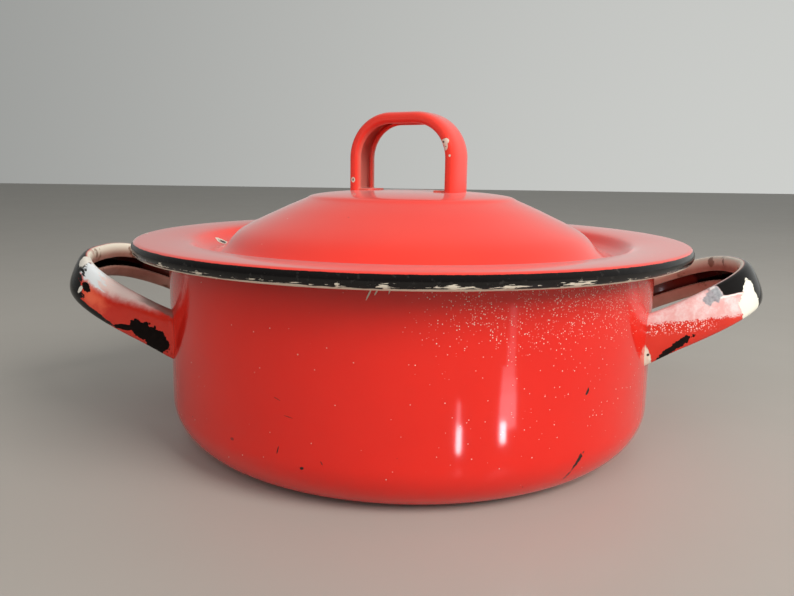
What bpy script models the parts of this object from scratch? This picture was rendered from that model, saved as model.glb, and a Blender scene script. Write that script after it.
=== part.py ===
"""Small enamelled steel casserole: a deep drawn pot with two strap side handles and a lift-off lid
with a strap handle of its own. Metres, +Z up, origin at the centre of the base, +X through the
right side handle. Every piece is sheet steel, so the shells and straps are thin closed sections."""

import math

import bmesh
import bpy
from mathutils import Matrix, Vector

# Driving dimensions
GAP = 0.0003               # clearance left between pieces that touch
SHEET = 0.0013             # steel with its enamel on both sides
LID_SHEET = 0.0012
STRAP_SHEET = 0.0011
RING_STEPS = 56            # sides of a turned piece
SECTION_STEPS = 12         # spans round one side of a strap's section
ARCH_SECTION_STEPS = 16
CUTTER_STEPS = 96

# Pot
WALL_RADIUS = 0.0820       # outside, just under the rim
WAIST_RADIUS = 0.08235     # outside, just above the base corner
CORNER_RADIUS = 0.0145
FOOT_RING_RADIUS = 0.058   # inner edge of the flat ring that the pot stands on
BASE_RECESS = 0.0008
RECESS_RADIUS = 0.054
WALL_TOP = 0.0603
RIM_FILLET = 0.0028        # turn from the wall into the flange
RIM_BEAD_CENTRE = (0.0873, 0.0640)
RIM_BEAD_RADIUS = 0.00135

# Lid
BRIM_Z = 0.0669            # top of the rolled edge
ROLL_CENTRE = (0.0912, 0.06465)
ROLL_WIDE = 0.0020         # half width and half height of the rolled edge
ROLL_HIGH = 0.00225
DOME_TOP = 0.0824

# Lid handle
ARCH_TURN = math.radians(-27.5)   # the arch stands askew to the side handles
ARCH_SHIFT = -0.0015
ARCH_WIDTH = 0.0412
ARCH_TOP = 0.1090
ARCH_CORNER = 0.0158
ARCH_STRAP = 0.0132
ARCH_DEPTH = 0.0039
ARCH_ROUNDNESS = 0.45      # 1 gives the strap an elliptical section, 0 a square one
ARCH_SLOT = 0.0062         # gap between the two curled edges
ARCH_FOOT_Z = DOME_TOP + GAP
ARCH_TAB_LENGTH = 0.0036   # the feet turn in along the lid
ARCH_TAB_THICKNESS = 0.0006

# Side handles
LOOP_REACH = 0.1155        # from the axis to the outermost point
LOOP_HALF_WIDTH = 0.0355   # of the strap's outer face, at the wall
LOOP_SQUARENESS = 2.7      # exponent of the superellipse that the strap follows
LOOP_RISE = math.radians(25)
LOOP_WALL_Z = 0.0368       # middle of the strap where it meets the wall
LOOP_STRAP = 0.0136
LOOP_DEPTH = 0.0046
LOOP_ROUNDNESS = 0.75
LOOP_SLOT = 0.0028
LOOP_ROOT = 0.0700         # where the legs start, before the wall trims them
LOOP_STEPS = 22
ROOT_FLARE = 0.10          # how much wider the strap gets at the wall, as a share
ROOT_FLARE_RUN = 0.012     # and over what length of leg
RIGHT_TURN = math.radians(-3.8)   # the right handle is welded on a little askew
RIGHT_ROLL = math.radians(-3.4)
TAB_THICKNESS = 0.0011
# Each foot's outline: distance along the wall from the leg's outer face, and half width there
TAB_OUTLINE = (
    (0.0006, 0.0055),
    (0.0052, 0.0056),
    (0.0085, 0.0048),
    (0.0110, 0.0022),
)


def clear_scene():
    for obj in list(bpy.data.objects):
        bpy.data.objects.remove(obj, do_unlink=True)


def enamel(name, colour, roughness):
    material = bpy.data.materials.new(name)
    material.use_nodes = True
    shader = material.node_tree.nodes["Principled BSDF"]
    shader.inputs["Base Color"].default_value = (*colour, 1.0)
    shader.inputs["Roughness"].default_value = roughness
    shader.inputs["Metallic"].default_value = 0.0
    material.diffuse_color = (*colour, 1.0)
    return material


def arc(centre, radius, start, end, steps, squash=1.0):
    """Points of an arc in the (radius, height) plane, angles in degrees from +radius towards +height."""
    points = []
    for i in range(steps + 1):
        angle = math.radians(start + (end - start) * i / steps)
        points.append(
            (
                centre[0] + radius * math.cos(angle),
                centre[1] + radius * squash * math.sin(angle),
            )
        )
    return points


def smooth_through(points, per_span):
    """A Catmull-Rom curve through the points, ends included."""
    padded = [points[0], *points, points[-1]]
    curve = []
    for a, b, c, d in zip(padded, padded[1:], padded[2:], padded[3:]):
        for i in range(per_span):
            t = i / per_span
            curve.append(
                tuple(
                    0.5
                    * (
                        2 * b[k]
                        + (c[k] - a[k]) * t
                        + (2 * a[k] - 5 * b[k] + 4 * c[k] - d[k]) * t * t
                        + (3 * b[k] - a[k] - 3 * c[k] + d[k]) * t * t * t
                    )
                    for k in range(2)
                )
            )
    curve.append(points[-1])
    return curve


def offset(points, distance):
    """The polyline moved to its right-hand side by distance."""
    moved = []
    for i, point in enumerate(points):
        before = points[max(i - 1, 0)]
        after = points[min(i + 1, len(points) - 1)]
        along = Vector((after[0] - before[0], after[1] - before[1])).normalized()
        moved.append((point[0] + along.y * distance, point[1] - along.x * distance))
    return moved


def add_object(name, mesh, material):
    mesh.materials.append(material)
    mesh.shade_smooth()
    mesh.set_sharp_from_angle(angle=math.radians(40))
    obj = bpy.data.objects.new(name, mesh)
    bpy.context.scene.collection.objects.link(obj)
    return obj


def mesh_from(bm, name):
    bmesh.ops.recalc_face_normals(bm, faces=bm.faces)
    mesh = bpy.data.meshes.new(name)
    bm.to_mesh(mesh)
    bm.free()
    return mesh


def turned_mesh(name, section):
    """A closed solid turned about Z. The section runs from one point on the axis to another."""
    bm = bmesh.new()
    rings = []
    for radius, height in section:
        if radius < 1e-6:
            rings.append([bm.verts.new((0, 0, height))])
            continue
        ring = []
        for step in range(RING_STEPS):
            angle = math.tau * step / RING_STEPS
            ring.append(bm.verts.new((radius * math.cos(angle), radius * math.sin(angle), height)))
        rings.append(ring)
    for low, high in zip(rings, rings[1:]):
        for step in range(RING_STEPS):
            following = (step + 1) % RING_STEPS
            if len(low) == 1:
                bm.faces.new((low[0], high[following], high[step]))
            elif len(high) == 1:
                bm.faces.new((low[step], low[following], high[0]))
            else:
                bm.faces.new((low[step], low[following], high[following], high[step]))
    return mesh_from(bm, name)


def pot_section():
    """Outside from the base's centre up to the rolled rim, then down the inside."""
    base = [(0.0, BASE_RECESS), (RECESS_RADIUS, BASE_RECESS), (FOOT_RING_RADIUS, 0.0)]
    corner = arc((WAIST_RADIUS - CORNER_RADIUS, CORNER_RADIUS), CORNER_RADIUS, -90, 0, 6)
    fillet_centre = (WALL_RADIUS + RIM_FILLET, WALL_TOP)
    outer_fillet = arc(fillet_centre, RIM_FILLET, 180, 90, 3)
    bead = arc(RIM_BEAD_CENTRE, RIM_BEAD_RADIUS, 215, 505, 9)
    inner_fillet = arc(fillet_centre, RIM_FILLET + SHEET, 90, 180, 4)
    inner_corner = arc(
        (WAIST_RADIUS - CORNER_RADIUS, CORNER_RADIUS), CORNER_RADIUS - SHEET, 0, -90, 5
    )
    floor = [
        (FOOT_RING_RADIUS, SHEET),
        (RECESS_RADIUS, BASE_RECESS + SHEET),
        (0.0, BASE_RECESS + SHEET),
    ]
    return base + corner + outer_fillet + bead + inner_fillet + inner_corner + floor


def lid_top_line():
    """The lid's upper surface: round the rolled edge, along the brim, through the gutter, over the dome."""
    roll = arc(ROLL_CENTRE, ROLL_WIDE, -145, 90, 8, ROLL_HIGH / ROLL_WIDE)
    sweep = smooth_through(
        [
            (0.0778, BRIM_Z - 0.0003),
            (0.0749, BRIM_Z - 0.0012),
            (0.0718, BRIM_Z - 0.0041),
            (0.0684, BRIM_Z - 0.0054),
            (0.0645, BRIM_Z - 0.0034),
            (0.0585, BRIM_Z + 0.0024),
            (0.0460, DOME_TOP - 0.0069),
            (0.0375, DOME_TOP - 0.0032),
            (0.0330, DOME_TOP - 0.0015),
            (0.0200, DOME_TOP - 0.0003),
            (0.0, DOME_TOP),
        ],
        2,
    )
    return roll + sweep


def lid_section():
    top = lid_top_line()
    under = offset(top, -LID_SHEET)
    under[-1] = (0.0, DOME_TOP - LID_SHEET)
    return under[::-1] + top


def curled_section(strap, depth, slot, sheet, roundness, steps):
    """A C-shaped strap section: u points away from the loop, v across the strap. Its slot faces -u."""
    half = strap / 2
    reach = math.pi - math.asin(slot / strap)

    def line(shrink):
        points = []
        for i in range(steps + 1):
            angle = -reach + 2 * reach * i / steps
            cosine = math.cos(angle)
            sine = math.sin(angle)
            u = (depth / 2 - shrink) * math.copysign(abs(cosine) ** roundness, cosine) - depth / 2
            v = (half - shrink) * math.copysign(abs(sine) ** roundness, sine)
            points.append((u, v))
        return points

    return line(0.0) + line(sheet)[::-1]


def sweep_mesh(name, path, section):
    """Sweeps the section along path, a list of (point, outward, across) frames, and caps the ends.
    A frame's across vector is longer than 1 where the strap widens."""
    bm = bmesh.new()
    rings = []
    for point, outward, across in path:
        rings.append([bm.verts.new(point + outward * u + across * v) for u, v in section])
    count = len(section)
    for low, high in zip(rings, rings[1:]):
        for i in range(count):
            j = (i + 1) % count
            bm.faces.new((low[i], low[j], high[j], high[i]))
    half = count // 2
    for ring in (rings[0], rings[-1]):
        for i in range(half - 1):
            bm.faces.new((ring[i], ring[i + 1], ring[count - 2 - i], ring[count - 1 - i]))
    return mesh_from(bm, name)


def side_loop_path(roll):
    """Frames along the strap of a side handle on the +X side, in the plane that rises from the wall."""
    outward_axis = Vector((math.cos(LOOP_RISE), 0, math.sin(LOOP_RISE)))
    level = Vector((0, 1, 0))
    upright = Vector((-math.sin(LOOP_RISE), 0, math.cos(LOOP_RISE)))
    sideways = level * math.cos(roll) + upright * math.sin(roll)
    across = upright * math.cos(roll) - level * math.sin(roll)
    wall_x = math.sqrt(WALL_RADIUS**2 - LOOP_HALF_WIDTH**2)
    origin = Vector((wall_x, 0, LOOP_WALL_Z))
    reach = (LOOP_REACH - wall_x) / math.cos(LOOP_RISE)
    root = (LOOP_ROOT - wall_x) / math.cos(LOOP_RISE)
    flat = []
    for i in range(LOOP_STEPS + 1):
        angle = -math.pi / 2 + math.pi * i / LOOP_STEPS
        cosine = max(math.cos(angle), 0.0)
        sine = math.sin(angle)
        flat.append(
            (
                reach * cosine ** (2 / LOOP_SQUARENESS),
                LOOP_HALF_WIDTH * math.copysign(abs(sine) ** (2 / LOOP_SQUARENESS), sine),
            )
        )
    flat = [(root, flat[0][1]), *flat, (root, flat[-1][1])]
    frames = []
    for i, (s, t) in enumerate(flat):
        before = flat[max(i - 1, 0)]
        after = flat[min(i + 1, len(flat) - 1)]
        along = Vector((after[0] - before[0], after[1] - before[1])).normalized()
        outward = outward_axis * along.y - sideways * along.x
        widening = 1 + ROOT_FLARE * max(0.0, 1 - max(s, 0.0) / ROOT_FLARE_RUN) ** 2
        frames.append((origin + outward_axis * s + sideways * t, outward, across * widening))
    return frames


def foot_tab(side, middle):
    """The foot of a leg, turned in along the wall towards the other leg: a tapering curved plate."""
    inner = WAIST_RADIUS + GAP
    outer = inner + TAB_THICKNESS
    leg_angle = math.asin(LOOP_HALF_WIDTH / WALL_RADIUS)
    bm = bmesh.new()
    rings = []
    for length, half in TAB_OUTLINE:
        angle = side * (leg_angle - length / inner)
        low = middle - half
        high = middle + half
        ring = []
        for radius, height in ((inner, low), (outer, low), (outer, high), (inner, high)):
            ring.append(bm.verts.new((radius * math.cos(angle), radius * math.sin(angle), height)))
        rings.append(ring)
    for a, b in zip(rings, rings[1:]):
        for i in range(4):
            j = (i + 1) % 4
            bm.faces.new((a[i], a[j], b[j], b[i]))
    bm.faces.new(rings[0])
    bm.faces.new(rings[-1])
    return mesh_from(bm, "foot_tab")


def helper(name, mesh):
    obj = bpy.data.objects.new(name, mesh)
    bpy.context.scene.collection.objects.link(obj)
    obj.hide_render = True
    obj.display_type = "WIRE"
    return obj


def wall_cutter():
    """The pot's outer wall with its clearance, which trims the legs."""
    bm = bmesh.new()
    bmesh.ops.create_cone(
        bm,
        cap_ends=True,
        segments=CUTTER_STEPS,
        radius1=WAIST_RADIUS + GAP,
        radius2=WAIST_RADIUS + GAP,
        depth=2 * LOOP_REACH,
    )
    return helper("wall_cutter", mesh_from(bm, "wall_cutter"))


def add_boolean(obj, operand, operation):
    modifier = obj.modifiers.new(operand.name, "BOOLEAN")
    modifier.operation = operation
    modifier.object = operand


def build_side_handle(name, turn, roll, material, cutter):
    section = curled_section(
        LOOP_STRAP, LOOP_DEPTH, LOOP_SLOT, STRAP_SHEET, LOOP_ROUNDNESS, SECTION_STEPS
    )
    mesh = sweep_mesh(name, side_loop_path(roll), section)
    rotation = Matrix.Rotation(turn, 4, "Z")
    mesh.transform(rotation)
    handle = add_object(name, mesh, material)
    for side in (1, -1):
        tab = foot_tab(side, LOOP_WALL_Z + side * LOOP_HALF_WIDTH * math.sin(roll))
        tab.transform(rotation)
        add_boolean(handle, helper(f"{name}_tab_{'front' if side < 0 else 'back'}", tab), "UNION")
    add_boolean(handle, cutter, "DIFFERENCE")
    return handle


def arch_path():
    """Frames up one leg, over the arch and down the other, in the handle's own XZ plane."""
    half = ARCH_WIDTH / 2
    straight_top = ARCH_TOP - ARCH_CORNER
    points = [(-half, ARCH_FOOT_Z), (-half, (ARCH_FOOT_Z + straight_top) / 2)]
    points += arc((-half + ARCH_CORNER, straight_top), ARCH_CORNER, 180, 90, 8)
    points += arc((half - ARCH_CORNER, straight_top), ARCH_CORNER, 90, 0, 8)
    points += [(half, (ARCH_FOOT_Z + straight_top) / 2), (half, ARCH_FOOT_Z)]
    frames = []
    for i, (x, z) in enumerate(points):
        before = points[max(i - 1, 0)]
        after = points[min(i + 1, len(points) - 1)]
        along = Vector((after[0] - before[0], after[1] - before[1])).normalized()
        frames.append((Vector((x, 0, z)), Vector((-along.y, 0, along.x)), Vector((0, 1, 0))))
    return frames


def arch_tab(side):
    """The foot of a leg, turned in along the lid. It starts inside the web of the strap."""
    outer = ARCH_WIDTH / 2 - STRAP_SHEET / 2
    inner = ARCH_WIDTH / 2 - ARCH_DEPTH - ARCH_TAB_LENGTH
    bm = bmesh.new()
    bmesh.ops.create_cube(bm, size=1.0)
    mesh = mesh_from(bm, "arch_tab")
    mesh.transform(
        Matrix.LocRotScale(
            Vector((side * (outer + inner) / 2, 0, ARCH_FOOT_Z + ARCH_TAB_THICKNESS / 2)),
            None,
            Vector((outer - inner, ARCH_STRAP - 2 * STRAP_SHEET, ARCH_TAB_THICKNESS)),
        )
    )
    return mesh


def build_lid_handle(material):
    name = "lid_handle"
    section = curled_section(
        ARCH_STRAP, ARCH_DEPTH, ARCH_SLOT, STRAP_SHEET, ARCH_ROUNDNESS, ARCH_SECTION_STEPS
    )
    mesh = sweep_mesh(name, arch_path(), section)
    place = Matrix.Translation((ARCH_SHIFT, 0, 0)) @ Matrix.Rotation(ARCH_TURN, 4, "Z")
    mesh.transform(place)
    handle = add_object(name, mesh, material)
    for side in (1, -1):
        tab = arch_tab(side)
        tab.transform(place)
        add_boolean(handle, helper(f"arch_tab_{'right' if side > 0 else 'left'}", tab), "UNION")
    return handle


def main():
    clear_scene()
    red = enamel("red_enamel", (0.72, 0.055, 0.03), 0.12)
    lid_red = enamel("lid_red_enamel", (0.78, 0.07, 0.04), 0.10)
    worn = enamel("worn_handle_enamel", (0.62, 0.09, 0.06), 0.25)
    add_object("pot_shell", turned_mesh("pot_shell", pot_section()), red)
    cutter = wall_cutter()
    build_side_handle("right_side_handle", RIGHT_TURN, RIGHT_ROLL, worn, cutter)
    build_side_handle("left_side_handle", math.pi, 0.0, worn, cutter)
    add_object("lid_shell", turned_mesh("lid_shell", lid_section()), lid_red)
    build_lid_handle(lid_red)


main()
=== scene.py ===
"""Looks for the enamelled casserole: fine shells and straps, worn vitreous enamel, studio and camera.

Lengths are in metres. The marks on the straps are in millimetres.
"""

import math

import bmesh
import bpy
import numpy as np
from mathutils import Matrix, Vector


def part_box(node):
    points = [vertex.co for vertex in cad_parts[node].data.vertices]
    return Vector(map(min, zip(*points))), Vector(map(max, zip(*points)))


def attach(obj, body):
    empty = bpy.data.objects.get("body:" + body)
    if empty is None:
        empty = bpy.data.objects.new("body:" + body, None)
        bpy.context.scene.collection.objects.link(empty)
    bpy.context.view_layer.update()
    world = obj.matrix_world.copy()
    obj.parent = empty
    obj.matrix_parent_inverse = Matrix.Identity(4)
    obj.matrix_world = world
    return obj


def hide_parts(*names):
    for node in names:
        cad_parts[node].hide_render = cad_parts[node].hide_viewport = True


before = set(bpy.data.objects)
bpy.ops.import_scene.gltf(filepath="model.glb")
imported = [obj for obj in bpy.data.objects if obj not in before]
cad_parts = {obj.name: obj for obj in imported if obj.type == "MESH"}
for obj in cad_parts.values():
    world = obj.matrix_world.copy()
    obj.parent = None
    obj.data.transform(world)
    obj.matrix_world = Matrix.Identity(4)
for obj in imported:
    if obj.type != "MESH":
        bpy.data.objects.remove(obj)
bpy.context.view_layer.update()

# Sizes read from the frame
LID_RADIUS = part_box("lid_shell")[1].x
DOME_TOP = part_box("lid_shell")[1].z
RIM_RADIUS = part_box("pot_shell")[1].x
RIM_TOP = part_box("pot_shell")[1].z
ARCH_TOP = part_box("lid_handle")[1].z
ARCH_FOOT_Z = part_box("lid_handle")[0].z

# Sheets, and how finely they are meshed
RING_STEPS = 256
SHEET = 0.0013
LID_SHEET = 0.0012
STRAP_SHEET = 0.0011
CUTTER_HEIGHT = 0.2
LOOP_VOXEL = 0.0003
ARCH_VOXEL = 0.00025

# How far the feet are let in: inside the wall's radius, and below the underside that the CAD foot has
WALL_SINK = 0.0004
LID_SINK = 0.0008

# Pot
BEAD_RADIUS = 0.00135
BEAD_CENTRE = (RIM_RADIUS - BEAD_RADIUS, RIM_TOP - BEAD_RADIUS)
WALL_RADIUS = 0.0820
WAIST_RADIUS = 0.08235
CORNER_RADIUS = 0.0145
RIM_FILLET = 0.0028
WALL_TOP = RIM_TOP - 0.00505
RECESS_RADIUS = 0.054
FOOT_RING_RADIUS = 0.058
BASE_RECESS = 0.0008

# Lid
ROLL_WIDE = 0.0020
ROLL_HIGH = 0.00225
ROLL_CENTRE = (LID_RADIUS - ROLL_WIDE, DOME_TOP - 0.01775)
BRIM_Z = ROLL_CENTRE[1] + ROLL_HIGH
BRIM_OUTER_RADIUS = LID_RADIUS - 0.0047

# Lid handle
ARCH_TURN = math.radians(-27.5)
ARCH_SHIFT = -0.0015
ARCH_WIDTH = 0.0412
ARCH_CORNER = 0.0158
ARCH_STRAP = 0.0132
ARCH_DEPTH = 0.0043
ARCH_ROUNDNESS = 0.62
ARCH_SLOT = 0.0062
ARCH_TAB_LENGTH = 0.0036
ARCH_TAB_THICKNESS = 0.0001

# Side handles. The right one is welded on a little askew
LOOP_REACH = 0.1155
LOOP_HALF_WIDTH = 0.0355
LOOP_SQUARENESS = 2.7
LOOP_RISE = math.radians(25)
LOOP_WALL_Z = 0.0368
LOOP_STRAP = 0.0136
LOOP_DEPTH = 0.0046
LOOP_ROUNDNESS = 0.75
LOOP_SLOT = 0.0028
LOOP_ROOT = 0.0700
ROOT_FLARE = 0.10
ROOT_FLARE_RUN = 0.012
RIGHT_TURN = math.radians(-3.8)
RIGHT_ROLL = math.radians(-3.4)
TAB_THICKNESS = 0.0011

# Distance from the leg and half height, down the length of a side handle's foot
TAB_OUTLINE = (
    (0.0006, 0.0055),
    (0.0052, 0.0056),
    (0.0085, 0.0048),
    (0.0110, 0.0022),
)

# Enamel colours
RED = (0.80, 0.018, 0.009)
LID_RED = (0.88, 0.050, 0.032)
BLACK = (0.007, 0.006, 0.006)
CREAM = (0.80, 0.73, 0.60)
STEEL = (0.016, 0.010, 0.008)

# Room: light arriving from the left and right, the front and back, and below and above, as shares
WORLD_COLOUR = (0.985, 1.0, 0.965, 1)
WORLD_SHARES = ((0.22, 0.76), (0.10, 1.22), (1.0, 0.75))
FLOOR_REACH = 3.0

# Soft lights: name, degrees from the front, degrees up, distance, size, power, colour
WHITE = (1.0, 1.0, 1.0)
WARM = (1.0, 0.97, 0.93)
LIGHT_TARGET = (0, 0, 0.05)
LIGHTS = (
    ("key", 48, 36, 1.15, (0.55, 0.55), 11.5, WARM),
    ("fill", -20, 36, 1.3, (1.2, 1.0), 6.8, WHITE),
)

# Window panes: degrees from the front, distance from the axis, width, lower and upper end, radiance
PANE_COLOUR = (1.0, 0.90, 1.0)
PANES = (
    (13.0, 0.1162, 0.0022, 0.0036, 0.0118, 30.0),
    (12.8, 0.1160, 0.0016, 0.0118, 0.0195, 5.0),
    (24.6, 0.1142, 0.0030, 0.0064, 0.0128, 30.0),
    (25.8, 0.1140, 0.0092, 0.0108, 0.0215, 3.9),
    (25.8, 0.1140, 0.0084, 0.0215, 0.0262, 3.0),
    (25.6, 0.1140, 0.0070, 0.0262, 0.0300, 2.2),
    (26.2, 0.1140, 0.0044, 0.0300, 0.0370, 1.5),
    (26.4, 0.1140, 0.0034, 0.0370, 0.0480, 1.1),
)

# Camera, with its lens and sensor in millimetres
CAMERA_PLACE = (0, -0.24825, 0.0898)
CAMERA_PITCH = math.radians(10.466)
CAMERA_YAW = math.radians(-1.072)
CAMERA_ROLL = math.radians(-0.756)
CAMERA_LENS = 31.74
CAMERA_SENSOR = 36

# Marks on the wall: (degrees from the front, height), (half length, half width), tilt, raggedness
# and, where it isn't the usual one, the scale of the ragged edge
POT_KNOCKS = (
    ((-24.5, 0.0165), (0.0012, 0.00016), 75, 0.25),
    ((-19.5, 0.0127), (0.0006, 0.0004), 25, 0.3),
    ((-15.5, 0.0150), (0.0006, 0.00014), -60, 0.3),
    ((34.4, 0.0120), (0.0030, 0.0007), 56, 1.1, 1500.0),
    ((32.8, 0.0080), (0.0016, 0.0003), 56, 1.3, 1900.0),
    ((35.9, 0.0315), (0.0012, 0.0005), 65, 0.6, 1300.0),
)
POT_RUBS = (
    ((-22.0, 0.0262), (0.0016, 0.00015), -8, 0.4),
    ((-24.5, 0.0306), (0.0012, 0.00013), -20, 0.4),
    ((-36.0, 0.0160), (0.0007, 0.0005), 0, 0.5),
)
POT_SCRATCHES = (
    ((-6.9, 0.0600), (0.0019, 0.00022), 65, 0.4),
    ((-5.6, 0.0606), (0.0014, 0.00020), 60, 0.4),
    ((-3.4, 0.0608), (0.0011, 0.00018), 70, 0.4),
)

# Chips on the lid, like the marks on the wall but with a radius for the height
GUTTER_CHIP = ((-98.5, 0.0710), (0.0031, 0.0019), 15, 0.5, 700.0)
BRIM_CHIP = ((-84.0, 0.0919), (0.0018, 0.0011), 0, 0.4, 700.0)

# Where the lid's edge has lost enamel: degrees from the front, half length in degrees, strength
EDGE_WEAR = (
    (-62.0, 3.0, 0.9),
    (-45.5, 2.6, 1.0),
    (-35.0, 1.6, 0.9),
    (-23.5, 2.2, 0.6),
    (-17.0, 1.4, 0.6),
    (-10.2, 1.0, 1.0),
    (-3.5, 2.6, 1.0),
    (6.4, 4.4, 1.0),
    (14.2, 3.6, 0.9),
    (25.8, 5.0, 1.0),
    (36.0, 1.2, 0.7),
    (75.0, 5.0, 0.8),
    (118.0, 8.0, 0.9),
    (171.0, 6.0, 0.8),
    (-128.0, 7.0, 0.9),
)

# Marks on the straps, in millimetres along the strap from its middle and out of or across it
ARCH_CHIPS = (
    ((22.8, -2.9), (1.4, 1.2), 0, 0.25),
    ((22.9, -1.7), (1.1, 0.8), 0, 0.25),
    ((25.0, -2.6), (1.4, 0.8), -20, 0.25),
    ((28.4, -1.7), (0.5, 0.4), 0, 0.2),
    ((-37.0, -2.3), (1.05, 0.8), 0, 0.1),
    ((-39.2, -0.1), (0.6, 0.8), 0, 0.3),
)
LEFT_CHIPS = (
    ((31.0, -1.5), (1.7, 1.0), 70, 0.4),
    ((24.3, 6.0), (3.4, 2.6), 0, 0.35),
)
LEFT_KNOCKS = (
    ((57.8, -2.4), (4.6, 2.9), 0, 0.55, 500.0),
    ((63.2, -3.8), (5.0, 3.5), -35, 0.55, 500.0),
    ((52.2, -4.2), (4.4, 1.0), 22, 0.35, 700.0),
    ((33.4, 0.4), (2.6, 1.4), 0, 0.55, 700.0),
    ((-52.0, -2.5), (4.0, 1.8), 10, 0.40, 420.0),
)
RIGHT_CHIPS = (
    ((30.0, -4.0), (5.2, 5.2), 0, 0.45, 500.0),
    ((28.4, 0.6), (3.0, 3.6), 35, 0.55, 600.0),
)
RIGHT_KNOCKS = (
    ((57.0, -4.6), (4.2, 1.15), -14, 0.8, 900.0),
    ((61.5, -5.9), (4.0, 1.1), -20, 0.8, 900.0),
    ((-49.0, 1.5), (3.4, 1.6), 10, 0.4, 500.0),
)


def arc(centre, radius, start, end, steps, squash=1.0):
    """Points along an arc from start to end in degrees. Its height is scaled by squash."""
    points = []
    for i in range(steps + 1):
        angle = math.radians(start + (end - start) * i / steps)
        points.append(
            (centre[0] + radius * math.cos(angle), centre[1] + radius * squash * math.sin(angle))
        )
    return points


def smooth_through(points, per_span):
    """A Catmull-Rom curve through the points, ends included."""
    padded = [points[0], *points, points[-1]]
    curve = []
    for a, b, c, d in zip(padded, padded[1:], padded[2:], padded[3:]):
        for i in range(per_span):
            t = i / per_span
            curve.append(
                tuple(
                    0.5
                    * (
                        2 * b[k]
                        + (c[k] - a[k]) * t
                        + (2 * a[k] - 5 * b[k] + 4 * c[k] - d[k]) * t * t
                        + (3 * b[k] - a[k] - 3 * c[k] + d[k]) * t * t * t
                    )
                    for k in range(2)
                )
            )
    curve.append(points[-1])
    return curve


def offset(points, distance):
    """The polyline moved to its right-hand side by distance."""
    moved = []
    for i, point in enumerate(points):
        before = points[max(i - 1, 0)]
        after = points[min(i + 1, len(points) - 1)]
        along = Vector((after[0] - before[0], after[1] - before[1])).normalized()
        moved.append((point[0] + along.y * distance, point[1] - along.x * distance))
    return moved


def mesh_from(bm, name):
    """A smooth-shaded mesh. The bmesh is freed."""
    bmesh.ops.recalc_face_normals(bm, faces=bm.faces)
    mesh = bpy.data.meshes.new(name)
    bm.to_mesh(mesh)
    bm.free()
    mesh.shade_smooth()
    return mesh


def turned_mesh(name, sections):
    """A closed solid turned about Z. Each of the sections joined end to end has its own material."""
    bm = bmesh.new()
    rings = []
    for index, section in enumerate(sections):
        for radius, height in section:
            ring = []
            for step in range(RING_STEPS if radius > 1e-6 else 1):
                angle = math.tau * step / RING_STEPS
                place = (radius * math.cos(angle), radius * math.sin(angle), height)
                ring.append(bm.verts.new(place))
            rings.append((ring, index))
    for (low, _), (high, index) in zip(rings, rings[1:]):
        for step in range(RING_STEPS):
            following = (step + 1) % RING_STEPS
            if len(low) == 1:
                face = bm.faces.new((low[0], high[following], high[step]))
            elif len(high) == 1:
                face = bm.faces.new((low[step], low[following], high[0]))
            else:
                face = bm.faces.new((low[step], low[following], high[following], high[step]))
            face.material_index = index
    return mesh_from(bm, name)


def pot_sections():
    """The outside up to the rolled rim, then the inside."""
    base = [(0.0, BASE_RECESS), (RECESS_RADIUS, BASE_RECESS), (FOOT_RING_RADIUS, 0.0)]
    corner = arc((WAIST_RADIUS - CORNER_RADIUS, CORNER_RADIUS), CORNER_RADIUS, -90, 0, 24)
    fillet_centre = (WALL_RADIUS + RIM_FILLET, WALL_TOP)
    outer_fillet = arc(fillet_centre, RIM_FILLET, 180, 90, 10)
    bead = arc(BEAD_CENTRE, BEAD_RADIUS, 215, 505, 24)
    inner_fillet = arc(fillet_centre, RIM_FILLET + SHEET, 90, 180, 12)
    inner_corner = arc(
        (WAIST_RADIUS - CORNER_RADIUS, CORNER_RADIUS), CORNER_RADIUS - SHEET, 0, -90, 20
    )
    floor = [
        (FOOT_RING_RADIUS, SHEET),
        (RECESS_RADIUS, BASE_RECESS + SHEET),
        (0.0, BASE_RECESS + SHEET),
    ]
    return [base + corner + outer_fillet + bead, inner_fillet + inner_corner + floor]


def lid_sections():
    """The underside out to the curled edge, then round that edge and over the top."""
    roll = arc(ROLL_CENTRE, ROLL_WIDE, -145, 90, 26, ROLL_HIGH / ROLL_WIDE)
    sweep = smooth_through(
        [
            (0.0778, BRIM_Z - 0.0003),
            (0.0749, BRIM_Z - 0.0012),
            (0.0718, BRIM_Z - 0.0041),
            (0.0684, BRIM_Z - 0.0054),
            (0.0645, BRIM_Z - 0.0034),
            (0.0585, BRIM_Z + 0.0024),
            (0.0460, DOME_TOP - 0.0069),
            (0.0375, DOME_TOP - 0.0032),
            (0.0330, DOME_TOP - 0.0015),
            (0.0200, DOME_TOP - 0.0003),
            (0.0, DOME_TOP),
        ],
        8,
    )
    top = roll + sweep
    under = offset(top, -LID_SHEET)
    under[-1] = (0.0, DOME_TOP - LID_SHEET)
    return [under[::-1], top]


def curled_section(strap, depth, slot, roundness, steps=40):
    """A C-shaped strap section: u points out of the loop, v across the strap. Its slot faces -u."""
    half = strap / 2
    reach = math.pi - math.asin(slot / strap)

    def line(shrink):
        points = []
        for i in range(steps + 1):
            angle = -reach + 2 * reach * i / steps
            cosine = math.cos(angle)
            sine = math.sin(angle)
            u = (depth / 2 - shrink) * math.copysign(abs(cosine) ** roundness, cosine) - depth / 2
            v = (half - shrink) * math.copysign(abs(sine) ** roundness, sine)
            points.append((u, v))
        return points

    return line(0.0) + line(STRAP_SHEET)[::-1]


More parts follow.
